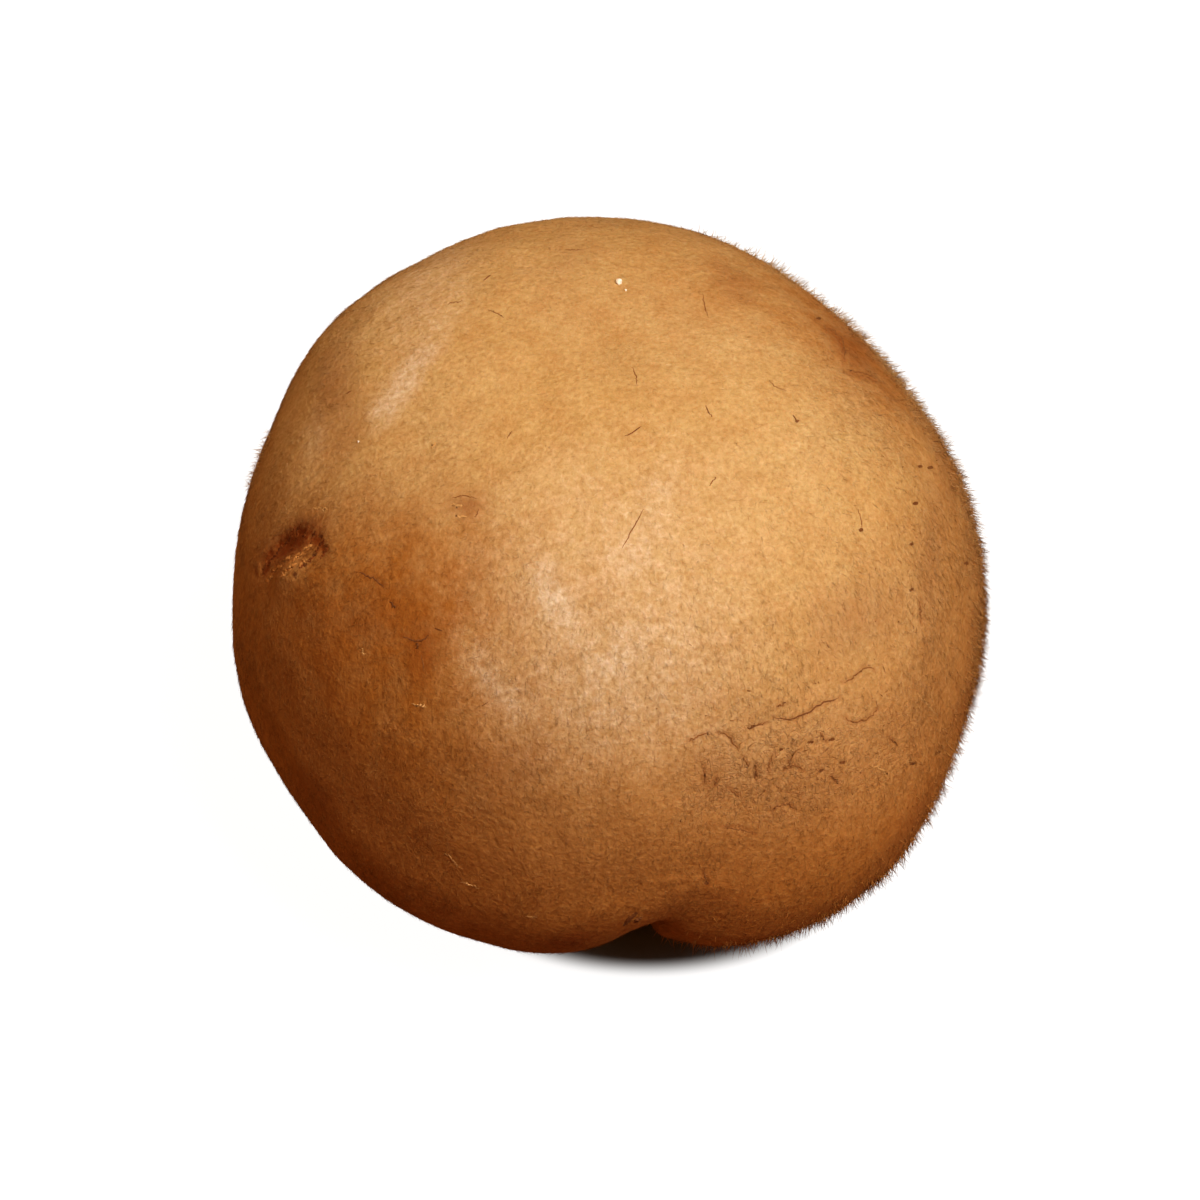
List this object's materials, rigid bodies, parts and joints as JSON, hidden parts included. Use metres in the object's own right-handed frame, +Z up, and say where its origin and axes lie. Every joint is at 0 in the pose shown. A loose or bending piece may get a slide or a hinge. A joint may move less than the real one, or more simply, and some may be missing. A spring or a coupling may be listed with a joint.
{
  "type": "button mushroom",
  "caption": "Brown button mushroom with a full round cap, a rim that rolls under and folds in one cleft, a closed veil and a short cut stem that it stands on.",
  "frame": {"origin": "centre of the flat cut end of the stem, on the surface that the mushroom stands on", "axes": "+Z up from the cut end to the top of the cap, -Y towards the cleft in the rim, +X to the right of it"},
  "size_m": [0.0469, 0.0477, 0.0438],
  "materials": {
    "mushroom_flesh": null
  },
  "bodies": {
    "root": {"mushroom": "mushroom_flesh"}
  },
  "joints": []
}
